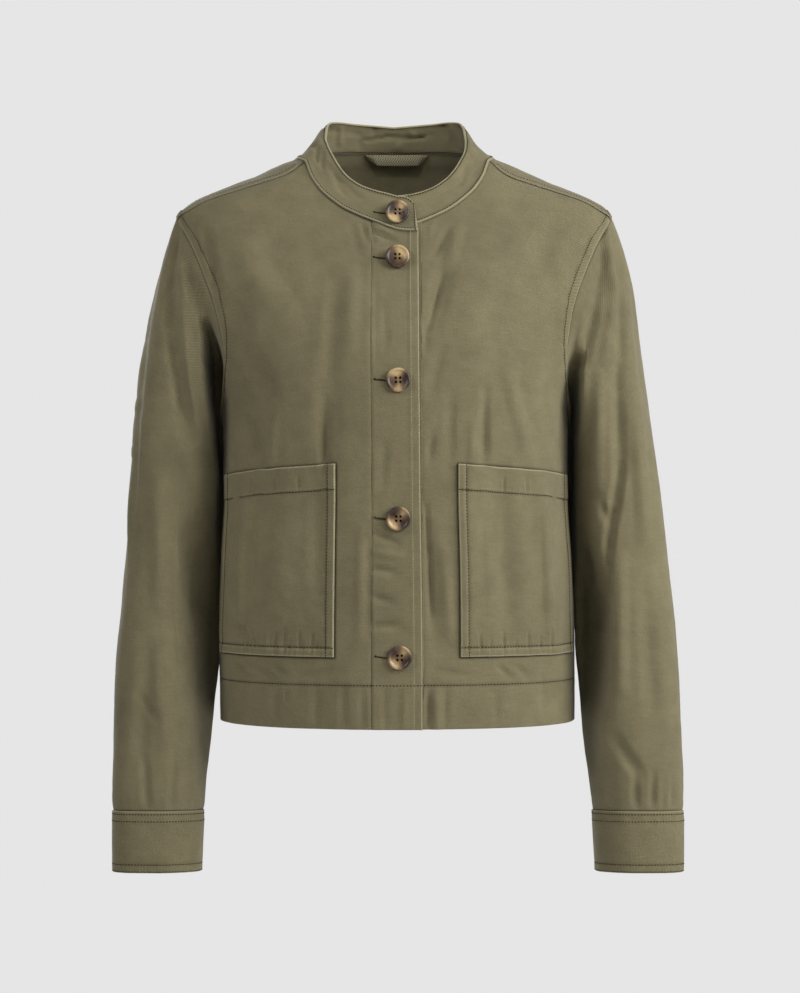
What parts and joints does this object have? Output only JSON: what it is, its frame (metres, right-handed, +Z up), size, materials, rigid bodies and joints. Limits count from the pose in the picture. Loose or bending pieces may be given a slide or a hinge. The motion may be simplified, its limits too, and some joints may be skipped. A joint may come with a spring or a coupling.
{
  "type": "band-collar twill jacket",
  "caption": "Boxy cropped cotton twill jacket, filled out as worn, with a stand collar, a buttoned front band, patch pockets, set-in sleeves with cuffs and a hanger loop.",
  "frame": {"origin": "middle of the neck base, level with the points where the shoulders meet the neck, where the wearer holds the jacket up", "axes": "+Z up; -Y the way the front faces; +X towards the wearer's left"},
  "size_m": [0.5348, 0.2388, 0.7122],
  "materials": {
    "twill": "matt cotton twill",
    "horn": "polished, mottled brown"
  },
  "bodies": {
    "root": {"back": "twill", "front_left": "twill", "front_right": "twill", "placket_left": "twill", "placket_right": "twill", "collar": "twill", "hanger_loop": "twill", "pocket_left": "twill", "pocket_right": "twill", "sleeve_left": "twill", "sleeve_right": "twill", "cuff_left": "twill", "cuff_right": "twill", "button_1": "horn", "button_2": "horn", "button_3": "horn", "button_4": "horn", "button_5": "horn"}
  },
  "joints": []
}
